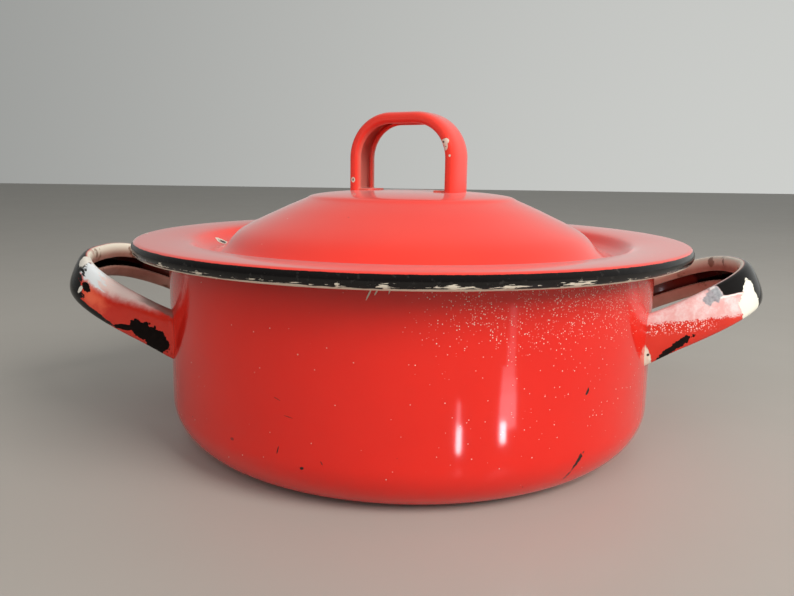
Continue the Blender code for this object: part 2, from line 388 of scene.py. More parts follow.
def sweep_mesh(name, frames, section):
    """Sweeps the section along frames of (point, outward, across), and caps the ends."""
    bm = bmesh.new()
    rings = []
    for point, outward, across in frames:
        rings.append([bm.verts.new(point + outward * u + across * v) for u, v in section])
    count = len(section)
    for low, high in zip(rings, rings[1:]):
        for i in range(count):
            j = (i + 1) % count
            bm.faces.new((low[i], low[j], high[j], high[i]))
    half = count // 2
    for ring in (rings[0], rings[-1]):
        for i in range(half - 1):
            bm.faces.new((ring[i], ring[i + 1], ring[count - 2 - i], ring[count - 1 - i]))
    return mesh_from(bm, name)


def side_loop_frames(roll, steps=120):
    """Frames along a side handle on the +X side, in the plane that rises from the wall."""
    outward_axis = Vector((math.cos(LOOP_RISE), 0, math.sin(LOOP_RISE)))
    level = Vector((0, 1, 0))
    upright = Vector((-math.sin(LOOP_RISE), 0, math.cos(LOOP_RISE)))
    sideways = level * math.cos(roll) + upright * math.sin(roll)
    across = upright * math.cos(roll) - level * math.sin(roll)
    wall_x = math.sqrt(WALL_RADIUS**2 - LOOP_HALF_WIDTH**2)
    origin = Vector((wall_x, 0, LOOP_WALL_Z))
    reach = (LOOP_REACH - wall_x) / math.cos(LOOP_RISE)
    root = (LOOP_ROOT - wall_x) / math.cos(LOOP_RISE)
    flat = []
    for i in range(steps + 1):
        angle = -math.pi / 2 + math.pi * i / steps
        cosine = max(math.cos(angle), 0.0)
        sine = math.sin(angle)
        flat.append(
            (
                reach * cosine ** (2 / LOOP_SQUARENESS),
                LOOP_HALF_WIDTH * math.copysign(abs(sine) ** (2 / LOOP_SQUARENESS), sine),
            )
        )
    flat = [(root, flat[0][1]), *flat, (root, flat[-1][1])]
    frames = []
    for i, (s, t) in enumerate(flat):
        before = flat[max(i - 1, 0)]
        after = flat[min(i + 1, len(flat) - 1)]
        along = Vector((after[0] - before[0], after[1] - before[1])).normalized()
        outward = outward_axis * along.y - sideways * along.x
        widening = 1 + ROOT_FLARE * max(0.0, 1 - max(s, 0.0) / ROOT_FLARE_RUN) ** 2
        frames.append((origin + outward_axis * s + sideways * t, outward, across * widening))
    return frames


def arch_frames():
    """Frames up one leg of the lid handle, over the arch and down the other."""
    half = ARCH_WIDTH / 2
    straight_top = ARCH_TOP - ARCH_CORNER
    foot = ARCH_FOOT_Z - LID_SINK
    rise = [foot + (straight_top - foot) * i / 6 for i in range(6)]
    points = [(-half, z) for z in rise]
    points += arc((-half + ARCH_CORNER, straight_top), ARCH_CORNER, 180, 90, 24)
    points += arc((half - ARCH_CORNER, straight_top), ARCH_CORNER, 90, 0, 24)
    points += [(half, z) for z in reversed(rise)]
    frames = []
    for i, (x, z) in enumerate(points):
        before = points[max(i - 1, 0)]
        after = points[min(i + 1, len(points) - 1)]
        along = Vector((after[0] - before[0], after[1] - before[1])).normalized()
        frames.append((Vector((x, 0, z)), Vector((-along.y, 0, along.x)), Vector((0, 1, 0))))
    return frames


def foot_tab(side, middle):
    """The foot of a leg, turned in along the wall towards the other leg: a tapering curved plate."""
    inner = WALL_RADIUS - WALL_SINK
    outer = WAIST_RADIUS + TAB_THICKNESS
    leg_angle = math.asin(LOOP_HALF_WIDTH / WALL_RADIUS)
    bm = bmesh.new()
    rings = []
    for length, half in TAB_OUTLINE:
        angle = side * (leg_angle - length / inner)
        low = middle - half
        high = middle + half
        ring = []
        for radius, height in ((inner, low), (outer, low), (outer, high), (inner, high)):
            ring.append(bm.verts.new((radius * math.cos(angle), radius * math.sin(angle), height)))
        rings.append(ring)
    for a, b in zip(rings, rings[1:]):
        for i in range(4):
            j = (i + 1) % 4
            bm.faces.new((a[i], a[j], b[j], b[i]))
    bm.faces.new(rings[0])
    bm.faces.new(rings[-1])
    return mesh_from(bm, "foot_tab")


def arch_tab(side):
    """The foot of a lid handle's leg, turned in along the lid."""
    outer = ARCH_WIDTH / 2 - STRAP_SHEET / 2
    inner = ARCH_WIDTH / 2 - ARCH_DEPTH - ARCH_TAB_LENGTH
    low = ARCH_FOOT_Z - LID_SINK
    high = ARCH_FOOT_Z + ARCH_TAB_THICKNESS
    bm = bmesh.new()
    bmesh.ops.create_cube(bm, size=1.0)
    mesh = mesh_from(bm, "arch_tab")
    mesh.transform(
        Matrix.LocRotScale(
            Vector((side * (outer + inner) / 2, 0, (low + high) / 2)),
            None,
            Vector((outer - inner, ARCH_STRAP - 2 * STRAP_SHEET, high - low)),
        )
    )
    return mesh


def temporary(mesh):
    """An object that is there only while modifiers work on its mesh."""
    obj = bpy.data.objects.new("temporary", mesh)
    bpy.context.scene.collection.objects.link(obj)
    return obj


def applied(obj):
    """The object's mesh with its modifiers applied. The object is removed."""
    graph = bpy.context.evaluated_depsgraph_get()
    mesh = bpy.data.meshes.new_from_object(obj.evaluated_get(graph))
    bpy.data.objects.remove(obj, do_unlink=True)
    return mesh


def trimmed_by_wall(mesh):
    """The mesh without what lies inside the pot's wall."""
    bm = bmesh.new()
    radius = WALL_RADIUS - WALL_SINK
    bmesh.ops.create_cone(
        bm, cap_ends=True, segments=RING_STEPS, radius1=radius, radius2=radius, depth=CUTTER_HEIGHT
    )
    cutter = temporary(mesh_from(bm, "wall"))
    obj = temporary(mesh)
    modifier = obj.modifiers.new("wall", "BOOLEAN")
    modifier.operation = "DIFFERENCE"
    modifier.object = cutter
    result = applied(obj)
    bpy.data.objects.remove(cutter, do_unlink=True)
    return result


def fused(meshes, voxel, smoothing):
    """The closed meshes joined into one body with soft edges, as the enamel leaves them."""
    bm = bmesh.new()
    for mesh in meshes:
        bm.from_mesh(mesh)
    obj = temporary(mesh_from(bm, "fused"))
    remesh = obj.modifiers.new("remesh", "REMESH")
    remesh.mode = "VOXEL"
    remesh.voxel_size = voxel
    smooth = obj.modifiers.new("smooth", "SMOOTH")
    smooth.factor = 0.5
    smooth.iterations = smoothing
    mesh = applied(obj)
    mesh.shade_smooth()
    return mesh


def mark_strap(mesh, frames):
    """Stores each point's place on the strap: along it from its middle, across it, and out of it."""
    points, outward, across = (np.array([list(part) for part in parts]) for parts in zip(*frames))
    along = np.cross(across, outward)
    steps = np.linalg.norm(np.diff(points, axis=0), axis=1)
    length = np.concatenate([[0.0], np.cumsum(steps)])
    length -= length[-1] / 2
    direction = np.gradient(points, axis=0)
    along *= np.sign((along * direction).sum(axis=1))[:, None]
    places = np.empty(len(mesh.vertices) * 3, np.float32)
    mesh.vertices.foreach_get("co", places)
    places = places.reshape(-1, 3)
    result = np.empty_like(places)
    at_once = 4000
    for start in range(0, len(places), at_once):
        some = slice(start, start + at_once)
        gaps = places[some, None, :] - points[None]
        nearest = (gaps**2).sum(axis=2).argmin(axis=1)
        gap = gaps[np.arange(len(nearest)), nearest]
        result[some, 0] = length[nearest] + (gap * along[nearest]).sum(axis=1)
        result[some, 1] = (gap * across[nearest]).sum(axis=1)
        result[some, 2] = (gap * outward[nearest]).sum(axis=1)
    attribute = mesh.attributes.new("strap", "FLOAT_VECTOR", "POINT")
    attribute.data.foreach_set("vector", result.ravel())


def side_loop_mesh(name, roll):
    """A side handle on the +X side: its strap and the two feet, fused."""
    frames = side_loop_frames(roll)
    section = curled_section(LOOP_STRAP, LOOP_DEPTH, LOOP_SLOT, LOOP_ROUNDNESS)
    strap = sweep_mesh(name, frames, section)
    drop = LOOP_HALF_WIDTH * math.sin(roll)
    tabs = [foot_tab(side, LOOP_WALL_Z + side * drop) for side in (1, -1)]
    mesh = fused([trimmed_by_wall(strap), *tabs], LOOP_VOXEL, 3)
    mark_strap(mesh, frames)
    return mesh


def arch_mesh():
    """The lid handle, before it is turned: its strap and the two feet, fused."""
    frames = arch_frames()
    section = curled_section(ARCH_STRAP, ARCH_DEPTH, ARCH_SLOT, ARCH_ROUNDNESS)
    strap = sweep_mesh("arch", frames, section)
    mesh = fused([strap, arch_tab(1), arch_tab(-1)], ARCH_VOXEL, 2)
    mark_strap(mesh, frames)
    return mesh


class Graph:
    """One material and the nodes that feed its Principled shader."""

    def __init__(self, name):
        self.material = bpy.data.materials.new(name)
        self.material.use_nodes = True
        self.tree = self.material.node_tree
        self.shader = self.tree.nodes["Principled BSDF"]
        self.object = self.node("TexCoord").outputs["Object"]

    def feed(self, socket, value):
        if isinstance(value, bpy.types.NodeSocket):
            self.tree.links.new(value, socket)
        elif value is not None:
            socket.default_value = value

    def node(self, kind, *inputs, **settings):
        node = self.tree.nodes.new("ShaderNode" + kind)
        for key, value in settings.items():
            setattr(node, key, value)
        for socket, value in zip(node.inputs, inputs):
            self.feed(socket, value)
        return node

    def math(self, operation, *values, clamp=False):
        return self.node("Math", *values, operation=operation, use_clamp=clamp).outputs[0]

    def add(self, *values):
        total = values[0]
        for value in values[1:]:
            total = self.math("ADD", total, value)
        return total

    def times(self, *values):
        total = values[0]
        for value in values[1:]:
            total = self.math("MULTIPLY", total, value)
        return total

    def most(self, *values):
        total = values[0]
        for value in values[1:]:
            total = self.math("MAXIMUM", total, value)
        return total

    def less(self, a, b):
        return self.math("SUBTRACT", a, b)

    def opposite(self, value):
        return self.math("SUBTRACT", 1.0, value)

    def step(self, value, low, high):
        """0 where value is below low, 1 where it is above high. With high below low it falls instead."""
        node = self.node("MapRange", value, min(low, high), max(low, high))
        node.interpolation_type = "SMOOTHSTEP"
        result = node.outputs[0]
        return result if high > low else self.opposite(result)

    def between(self, value, low, high, soft):
        """1 where value is between low and high, 0 elsewhere, with soft ends."""
        return self.times(
            self.step(value, low - soft, low + soft), self.step(value, high + soft, high - soft)
        )

    def mix(self, share, first, second):
        node = self.node("Mix", data_type="RGBA")
        self.feed(node.inputs[0], share)
        self.feed(node.inputs[6], (*first, 1.0) if isinstance(first, tuple) else first)
        self.feed(node.inputs[7], (*second, 1.0) if isinstance(second, tuple) else second)
        return node.outputs[2]

    def stretched(self, vector, *scale):
        return self.node("VectorMath", vector, scale, operation="MULTIPLY").outputs[0]

    def shifted(self, vector, *shift):
        return self.node("VectorMath", vector, shift, operation="ADD").outputs[0]

    def vector(self, x, y, z=0.0):
        return self.node("CombineXYZ", x, y, z).outputs[0]

    def parts(self, vector):
        return list(self.node("SeparateXYZ", vector).outputs)

    def noise(self, scale, detail=2.0, roughness=0.55, vector=None):
        """Noise from 0 to 1 with features about 1 / scale across."""
        node = self.node("TexNoise")
        self.feed(node.inputs["Vector"], vector or self.object)
        self.feed(node.inputs["Scale"], scale)
        self.feed(node.inputs["Detail"], detail)
        self.feed(node.inputs["Roughness"], roughness)
        return node.outputs[0]

    def wobble(self, scale, amount, detail=2.0, vector=None):
        """Noise from -amount to amount."""
        return self.times(self.less(self.noise(scale, detail, vector=vector), 0.5), 2 * amount)

    def dots(self, scale, radius, share, vector=None):
        """Round dots, one to a cell at most. radius is a share of a cell, share of the cells have one."""
        node = self.node("TexVoronoi")
        self.feed(node.inputs["Vector"], vector or self.object)
        self.feed(node.inputs["Scale"], scale)
        chance = self.parts(node.outputs["Color"])[0]
        inside = self.step(node.outputs["Distance"], radius, radius * 0.6)
        return self.times(inside, self.math("LESS_THAN", chance, share))

    def patch(self, x, y, centre, size, tilt=0.0, ragged=0.0, scale=900.0):
        """1 in the middle of an elliptical patch, 0 at its ragged edge and less outside."""
        turn = math.radians(tilt)
        dx = self.less(x, centre[0])
        dy = self.less(y, centre[1])
        along = self.add(self.times(dx, math.cos(turn)), self.times(dy, math.sin(turn)))
        over = self.less(self.times(dy, math.cos(turn)), self.times(dx, math.sin(turn)))
        reach = self.math(
            "SQRT",
            self.add(
                self.math("POWER", self.times(along, 1 / size[0]), 2.0),
                self.math("POWER", self.times(over, 1 / size[1]), 2.0),
            ),
        )
        edge = self.opposite(reach)
        return self.add(edge, self.wobble(scale, ragged)) if ragged else edge

    def patches(self, x, y, marks):
        """Several patches, each a tuple of what patch takes after x and y."""
        return self.most(*[self.patch(x, y, *mark) for mark in marks])

    def finish(self, colour, chips, roughness, relief=0.00012, peel=0.000012, dust=0.0, dull=0.0):
        """Sets the shader. Chips lie below the enamel, which has a slight orange peel and some dust.

        dull takes away from the usual strength of reflections, 0.5.
        """
        if dull:
            self.feed(self.shader.inputs["Specular IOR Level"], self.less(0.5, dull))
        self.feed(self.shader.inputs["Sheen Weight"], dust)
        self.feed(self.shader.inputs["Sheen Roughness"], 0.45)
        self.feed(self.shader.inputs["Base Color"], colour)
        self.feed(self.shader.inputs["Roughness"], roughness)
        height = self.add(
            self.times(self.noise(170.0, 1.0), peel), self.times(self.opposite(chips), relief)
        )
        bump = self.node("Bump")
        self.feed(bump.inputs["Strength"], 1.0)
        self.feed(bump.inputs["Distance"], 1.0)
        self.feed(bump.inputs["Height"], height)
        self.feed(self.shader.inputs["Normal"], bump.outputs[0])
        return self.material

    def round_the_axis(self):
        """Radius, height and distance round the wall in metres: 0 at the front, positive to the right."""
        x, y, z = self.parts(self.object)
        radius = self.math("SQRT", self.add(self.times(x, x), self.times(y, y)))
        angle = self.math("ARCTAN2", x, self.times(y, -1.0))
        return radius, z, self.times(angle, WALL_RADIUS)


def degrees_round(angle):
    """The distance round the wall of an angle from the front, to match Graph.round_the_axis."""
    return math.radians(angle) * WALL_RADIUS


def wall_mark(g, around, level, mark):
    """A patch placed by degrees from the front, and by a height or radius."""
    (angle, place), *shape = mark
    return g.patch(around, level, (degrees_round(angle), place), *shape)


def wall_marks(g, around, height, marks):
    return g.most(*[wall_mark(g, around, height, mark) for mark in marks])


def wall_pinholes(g, around, height):
    """Fine pale pinholes, thick under the rim at the right."""
    under_rim = g.step(height, 0.0410, 0.0610)
    shower = g.times(
        g.add(0.035, g.times(under_rim, 0.965)),
        g.between(around, degrees_round(6), degrees_round(66), 0.014),
        g.step(height, 0.012, 0.030),
        g.step(g.noise(70.0, 3.0), 0.18, 0.56),
    )
    pinholes = g.most(
        g.dots(1900.0, 0.36, g.add(0.004, g.times(shower, 1.00))),
        g.dots(1200.0, 0.24, g.add(0.005, g.times(shower, 0.50))),
        g.dots(640.0, 0.15, g.add(0.007, g.times(shower, 0.14))),
    )
    faint = g.step(g.noise(800.0, 0.0), 0.66, 0.36)
    return g.times(pinholes, g.step(height, 0.004, 0.012), g.less(1.0, g.times(faint, 0.80)))


def pot_outside():
    """Glossy red with pinholes, knocks, rubs and scratches, black at the rim and scuffed underneath."""
    g = Graph("pot_outside_enamel")
    _, height, around = g.round_the_axis()
    tone = g.noise(28.0, 3.0)
    red = g.mix(tone, (RED[0] * 0.90, RED[1] * 0.85, RED[2]), (RED[0] * 1.08, RED[1] * 1.3, RED[2] * 1.3))
    pinholes = wall_pinholes(g, around, height)
    specks = g.times(g.dots(360.0, 0.085, 0.10), g.step(height, 0.030, 0.018))
    # Knocks go down to the steel, rubs are faint and dark, and scratches are pale
    knocks = wall_marks(g, around, height, POT_KNOCKS)
    rubs = wall_marks(g, around, height, POT_RUBS)
    scratches = wall_marks(g, around, height, POT_SCRATCHES)
    bare = g.step(knocks, 0.0, 0.12)
    pale = g.most(g.step(scratches, 0.0, 0.2), g.times(pinholes, 0.95))
    colour = g.mix(pale, red, CREAM)
    dark = g.most(bare, g.times(g.step(rubs, 0.0, 0.3), 0.65), g.times(specks, 0.7))
    colour = g.mix(dark, colour, STEEL)
    rim = g.step(height, WALL_TOP + 0.0018, WALL_TOP + 0.0022)
    colour = g.mix(rim, colour, BLACK)
    # The underside is scuffed by what it stands on
    scuff = g.times(g.step(height, 0.0016, 0.0002), g.step(g.noise(260.0, 4.0), 0.42, 0.60))
    colour = g.mix(g.times(scuff, 0.85), colour, (0.10, 0.08, 0.07))
    worn = g.most(bare, g.times(pale, 0.5), scuff)
    roughness = g.add(0.085, g.times(g.noise(90.0), 0.05), g.times(worn, 0.4))
    return g.finish(colour, g.most(bare, g.times(pale, 0.3)), roughness)


def inside_enamel(name, black_rim):
    """Cream enamel with a few fine specks and faint rings from use. The pot's is black at the rim."""
    g = Graph(name)
    radius, height, _ = g.round_the_axis()
    tone = g.noise(22.0, 4.0)
    cream = g.mix(tone, (0.70, 0.64, 0.52), (0.80, 0.76, 0.66))
    specks = g.dots(300.0, 0.09, 0.22)
    rings = g.times(g.step(g.noise(400.0, 2.0, vector=g.vector(radius, height)), 0.5, 0.7), 0.10)
    colour = g.mix(rings, cream, (0.42, 0.34, 0.26))
    colour = g.mix(g.times(specks, 0.8), colour, STEEL)
    if black_rim:
        colour = g.mix(g.step(height, WALL_TOP + 0.0030, WALL_TOP + 0.0034), colour, BLACK)
    roughness = g.add(0.12, g.times(tone, 0.08), g.times(rings, 0.8))
    return g.finish(colour, specks, roughness, relief=0.00004)


def edge_wear(g, edge, radius, height, around):
    """Where the cream ground coat shows: along the edge's lowest line, and in ragged chips above it."""
    worn_line = g.times(
        edge,
        g.step(
            g.add(height, g.wobble(420.0, 0.00022, 4.0), g.wobble(75.0, 0.00040, 1.0)),
            ROLL_CENTRE[1] - 0.00150,
            ROLL_CENTRE[1] - 0.00165,
        ),
    )
    wear = 0.0
    for angle, half, strength in EDGE_WEAR:
        distance = g.math("ABSOLUTE", g.less(around, degrees_round(angle)))
        wear = g.most(wear, g.less(strength, g.times(distance, strength / degrees_round(half))))
    off_the_line = g.math("ABSOLUTE", g.less(height, ROLL_CENTRE[1] - 0.00110))
    rag = g.noise(1.0, 4.0, vector=g.stretched(g.vector(around, height, radius), 420.0, 2600.0, 300.0))
    chance = g.add(g.times(wear, 0.42), g.times(rag, 1.8), g.times(off_the_line, -420.0))
    chipped = g.times(edge, g.step(chance, 1.06, 1.10))
    return worn_line, chipped


def lid_outside():
    """A lighter red, black on the rolled edge with a painted grey sheen, where the ground coat shows in
    worn places.
    """
    g = Graph("lid_outside_enamel")
    radius, height, around = g.round_the_axis()
    tone = g.noise(24.0, 3.0)
    red = g.mix(
        tone,
        (LID_RED[0] * 0.93, LID_RED[1] * 0.85, LID_RED[2]),
        (LID_RED[0] * 1.06, LID_RED[1] * 1.25, LID_RED[2] * 1.2),
    )
    edge = g.step(radius, BRIM_OUTER_RADIUS, BRIM_OUTER_RADIUS + 0.0001)
    # The black coat was dipped by hand, so its border waves a little
    border = g.add(g.wobble(260.0, 0.00010), g.wobble(1500.0, 0.00006, 3.0))
    outer = g.less(g.add(radius, border), ROLL_CENTRE[0] + 0.60 * ROLL_WIDE)
    lower = g.less(ROLL_CENTRE[1], height)
    black = g.times(edge, g.step(g.most(outer, lower), 0.0, 0.00006))
    worn_line, chipped = edge_wear(g, edge, radius, height, around)
    ground = g.most(worn_line, chipped)
    # The chip in the gutter goes down to the steel
    gutter_chip = wall_mark(g, around, radius, GUTTER_CHIP)
    brim_chip = wall_mark(g, around, radius, BRIM_CHIP)
    # Small pale bruises where the black starts
    bruises = g.times(
        g.between(radius, ROLL_CENTRE[0] + 0.0006, ROLL_CENTRE[0] + 0.0018, 0.0002),
        g.dots(240.0, 0.14, g.times(g.step(g.noise(30.0), 0.52, 0.66), 0.22)),
        g.step(height, ROLL_CENTRE[1] + 0.00085, ROLL_CENTRE[1] + 0.00135),
    )
    pinholes = g.times(g.opposite(edge), g.dots(520.0, 0.12, 0.012))
    specks = g.times(g.opposite(edge), g.dots(380.0, 0.10, 0.030))
    colour = g.mix(g.times(pinholes, 0.6), red, CREAM)
    colour = g.mix(g.times(specks, 0.55), colour, STEEL)
    colour = g.mix(black, colour, BLACK)
    # Grey blotches on the black are a painted sheen: reflection painted into the colour
    painted_sheen = g.times(black, g.step(g.noise(700.0, 4.0), 0.58, 0.75))
    colour = g.mix(g.times(painted_sheen, 0.25), colour, (0.09, 0.085, 0.08))
    chips = g.most(g.step(gutter_chip, 0.0, 0.08), g.step(brim_chip, 0.0, 0.08))
    colour = g.mix(g.most(ground, bruises, chips), colour, CREAM)
    bare = g.step(gutter_chip, 0.42, 0.55)
    colour = g.mix(bare, colour, STEEL)
    lost = g.most(chipped, chips)
    roughness = g.add(
        0.085, g.times(g.noise(90.0), 0.05), g.times(black, 0.10), g.times(g.most(ground, lost), 0.35)
    )
    dusty = g.times(g.opposite(black), 0.22)
    return g.finish(colour, lost, roughness, dust=dusty, dull=g.times(black, 0.18))


def strap_places(g, front=1.0):
    """Millimetres along the strap from its middle, across it, and out of it from its outer face.

    front is 1 or -1, so that places along the strap are positive towards the viewer.
    """
    places = g.node("Attribute", attribute_name="strap").outputs["Vector"]
    return g.parts(g.stretched(places, 1000.0 * front, 1000.0, 1000.0))


def arch_enamel():
    """The lid's red, with small chips on the side towards the viewer and thin enamel in the curl."""
    g = Graph("lid_handle_enamel")
    along, across, out = strap_places(g)
    tone = g.noise(60.0, 3.0)
    red = g.mix(
        tone,
        (LID_RED[0] * 0.90, LID_RED[1] * 0.9, LID_RED[2]),
        (LID_RED[0] * 1.05, LID_RED[1] * 1.4, LID_RED[2] * 1.4),
    )
    # Thin enamel inside the curled edges lets the pale coat through
    inner = g.times(g.step(out, -3.4, -4.1), g.step(g.math("ABSOLUTE", across), 2.0, 3.2))
    colour = g.mix(g.times(inner, 0.6), red, (0.74, 0.22, 0.16))
    hollow = g.times(g.between(out, -3.3, -0.9, 0.2), g.between(across, -5.3, 5.3, 0.2))
    colour = g.mix(hollow, colour, (0.72, 0.25, 0.20))
    on_front = g.step(across, -5.2, -5.9)
    chips = g.patches(along, out, ARCH_CHIPS)
    # Two of the chips have a dark hole, and one a faint one
    holes = g.most(
        g.patch(along, out, (22.8, -2.9), (0.50, 0.45)),
        g.times(g.patch(along, out, (24.8, -2.6), (0.40, 0.30)), 0.4),
        g.patch(along, out, (-37.0, -2.3), (0.48, 0.36)),
    )
    shown = g.step(g.times(g.add(chips, 3.0), on_front), 3.0, 3.12)
    flecks = g.times(g.dots(500.0, 0.15, 0.03), 0.6)
    bare = g.times(g.step(holes, 0.0, 0.3), on_front, 0.9)
    colour = g.mix(g.most(shown, flecks), colour, CREAM)
    colour = g.mix(bare, colour, STEEL)
    roughness = g.add(0.10, g.times(tone, 0.10), g.times(shown, 0.35), g.times(inner, 0.15))
    return g.finish(colour, shown, roughness, peel=0.00002, dust=0.22)


def worn_strap(g, across, out):
    """The colours that both side handles share: red outside, thin brownish enamel in the curl, and
    painted shade in its hollow.
    """
    tone = g.noise(70.0, 4.0)
    red = g.mix(tone, (0.56, 0.018, 0.010), (0.84, 0.052, 0.026))
    stain = g.noise(110.0, 4.0)
    lips = g.step(out, -2.1, -3.1)
    lip_colour = g.mix(stain, (0.30, 0.12, 0.085), (0.66, 0.38, 0.30))
    colour = g.mix(lips, red, lip_colour)
    cream_top = g.times(
        g.step(across, 3.2, 6.2), g.step(out, -1.5, -2.6), g.step(stain, 0.28, 0.44)
    )
    colour = g.mix(cream_top, colour, (0.86, 0.78, 0.64))
    rust = g.times(lips, g.step(g.noise(150.0, 3.0, vector=g.shifted(g.object, 0.3, 0, 0)), 0.60, 0.68))
    colour = g.mix(g.times(rust, 0.75), colour, (0.16, 0.055, 0.022))
    # The curl's hollow is painted nearly black: painted shade
    hollow = g.times(g.between(out, -3.4, -1.0, 0.2), g.between(across, -5.4, 5.4, 0.2))
    return g.mix(hollow, colour, (0.05, 0.022, 0.016)), lips


def feathered(g, amount):
    """Noise drawn out along the strap, as rubbing wears enamel."""
    places = g.node("Attribute", attribute_name="strap").outputs["Vector"]
    return g.times(
        g.less(g.noise(1.0, 4.0, 0.65, vector=g.stretched(places, 260.0, 900.0, 500.0)), 0.5),
        2 * amount,
    )


def left_front_leg(g, colour, places, ragged, rubbed, lips):
    """The colour with the wear on the front leg, and where it is worn and whitened."""
    along, across, _ = places
    # Orange where the red is thin, beside the black end
    thin = g.step(g.patch(along, across, (38.0, -1.4), (9.0, 4.6), 0, 0.5, 300.0), 0.0, 1.0)
    colour = g.mix(g.times(thin, 0.9), colour, (0.96, 0.17, 0.085))
    # Rubbed through to the pale coat along the upper half of the front leg
    fade = g.add(across, g.times(g.step(along, 38.0, 62.0), -3.2), g.times(ragged, 0.6))
    worn = g.times(g.step(fade, 0.4, 4.2), g.between(along, 30.0, 59.0, 3.0), g.opposite(lips))
    colour = g.mix(worn, colour, (0.93, 0.72, 0.66))
    whitened = g.times(
        g.between(g.add(along, rubbed), 27.0, 38.5, 1.5), g.step(g.add(across, ragged), 1.7, 2.9)
    )
    colour = g.mix(g.times(whitened, g.opposite(lips)), colour, (0.84, 0.87, 0.88))
    # Greyed metal along the top edge near the wall
    grey = g.times(g.step(along, 50.0, 56.0), g.step(g.add(across, g.times(ragged, 0.3)), 5.2, 6.0))
    colour = g.mix(g.times(grey, 0.8), colour, (0.17, 0.13, 0.11))
    return colour, worn, whitened


def left_black_end(g, places, ragged, rubbed):
    """Where the end is black, with a tail along the lower edge."""
    along, across, out = places
    limit = g.add(
        28.6,
        g.times(g.step(across, 2.0, -2.5), 4.0),
        g.times(g.step(across, -3.6, -5.3), 15.0),
    )
    front_side = g.step(g.add(g.less(along, limit), rubbed, g.times(ragged, 0.4)), 0.4, -0.4)
    back_side = g.step(g.add(along, ragged), -31.0, -29.0)
    return g.times(front_side, back_side, g.opposite(g.step(out, -1.4, -2.2)))


def left_handle_enamel():
    """Black at the end, orange and rubbed pale on the front leg, with a large knock by the wall."""
    g = Graph("left_handle_enamel")
    places = strap_places(g)
    along, across, out = places
    colour, lips = worn_strap(g, across, out)
    ragged = g.wobble(500.0, 1.6, 4.0)
    rubbed = feathered(g, 9.0)
    colour, worn, whitened = left_front_leg(g, colour, places, ragged, rubbed, lips)
    black = left_black_end(g, places, ragged, rubbed)
    colour = g.mix(black, colour, BLACK)
    chipped = g.step(g.patches(along, across, LEFT_CHIPS), 0.0, 0.25)
    colour = g.mix(chipped, colour, (0.86, 0.80, 0.71))
    # A large knock down to the steel near the wall, a small one in the worn patch and one behind
    bare = g.step(g.patches(along, across, LEFT_KNOCKS), 0.0, 0.06)
    colour = g.mix(bare, colour, g.mix(g.noise(600.0, 4.0), (0.003, 0.002, 0.002), (0.014, 0.009, 0.008)))
    dull = g.most(g.times(black, 0.2), g.times(bare, 0.42))
    roughness = g.add(
        0.14, g.times(worn, 0.30), g.times(whitened, 0.3), g.times(bare, 0.40), g.times(lips, 0.25)
    )
    return g.finish(colour, bare, roughness, peel=0.00003, dull=dull)


def right_front_leg(g, colour, places, ragged, lips):
    """The colour with the wear on the front leg, and where it is worn."""
    along, across, _ = places
    # Rubbed through to the pale coat above a line that climbs towards the wall, speckled along it
    line = g.add(-5.0, g.times(g.less(along, 36.0), 0.333))
    above = g.less(across, line)
    speckled = g.step(g.add(above, g.times(ragged, 0.7), g.wobble(2200.0, 1.6)), -0.2, 0.9)
    worn = g.times(speckled, g.step(along, 28.5, 31.0), g.opposite(lips))
    mottle = g.step(g.add(g.noise(240.0, 3.0), g.wobble(1500.0, 0.16)), 0.30, 0.70)
    pink = g.mix(mottle, (0.82, 0.42, 0.40), (0.90, 0.71, 0.70))
    colour = g.mix(worn, colour, pink)
    flecks = g.times(
        g.most(g.dots(1100.0, 0.34, 0.5), g.dots(1900.0, 0.36, 0.9)),
        g.between(g.add(above, ragged), -3.0, 0.6, 0.9),
        g.step(along, 43.0, 50.0),
    )
    colour = g.mix(g.times(flecks, g.opposite(lips)), colour, (0.92, 0.70, 0.66))
    return colour, worn


def right_black_end(g, colour, places, ragged, lips):
    """The colour with the black end, its white fringe and the scuff beyond it, and where it is black."""
    along, across, out = places
    # The black end reaches further along the upper edge
    limit = g.add(
        26.4,
        g.times(g.step(across, 0.4, 3.6), 9.2),
        g.times(g.step(across, -3.0, 0.6), 3.6),
    )
    front_side = g.step(g.add(g.less(along, limit), g.times(ragged, 0.5)), 0.3, -0.3)
    back_side = g.step(g.add(along, ragged), -30.0, -28.0)
    black = g.times(front_side, back_side, g.opposite(g.step(out, -1.6, -2.4)))
    # The black's edge is rubbed white
    fringe = g.between(g.add(g.less(along, limit), ragged), 0.2, 2.4, 0.4)
    fringe = g.times(fringe, g.step(across, 0.2, 0.8), g.opposite(lips))
    colour = g.mix(g.times(fringe, 0.8), colour, (0.92, 0.88, 0.84))
    colour = g.mix(black, colour, BLACK)
    # Scuffed grey beyond the black
    scuff = g.step(g.patch(along, across, (41.6, 4.6), (5.2, 2.4), -12, 0.6, 500.0), 0.0, 0.3)
    scuff = g.times(scuff, g.step(g.less(along, limit), -0.3, 0.3))
    scuffed_metal = g.mix(g.noise(800.0, 3.0), (0.02, 0.03, 0.04), (0.52, 0.54, 0.58))
    colour = g.mix(g.times(scuff, 0.9), colour, scuffed_metal)
    return colour, black


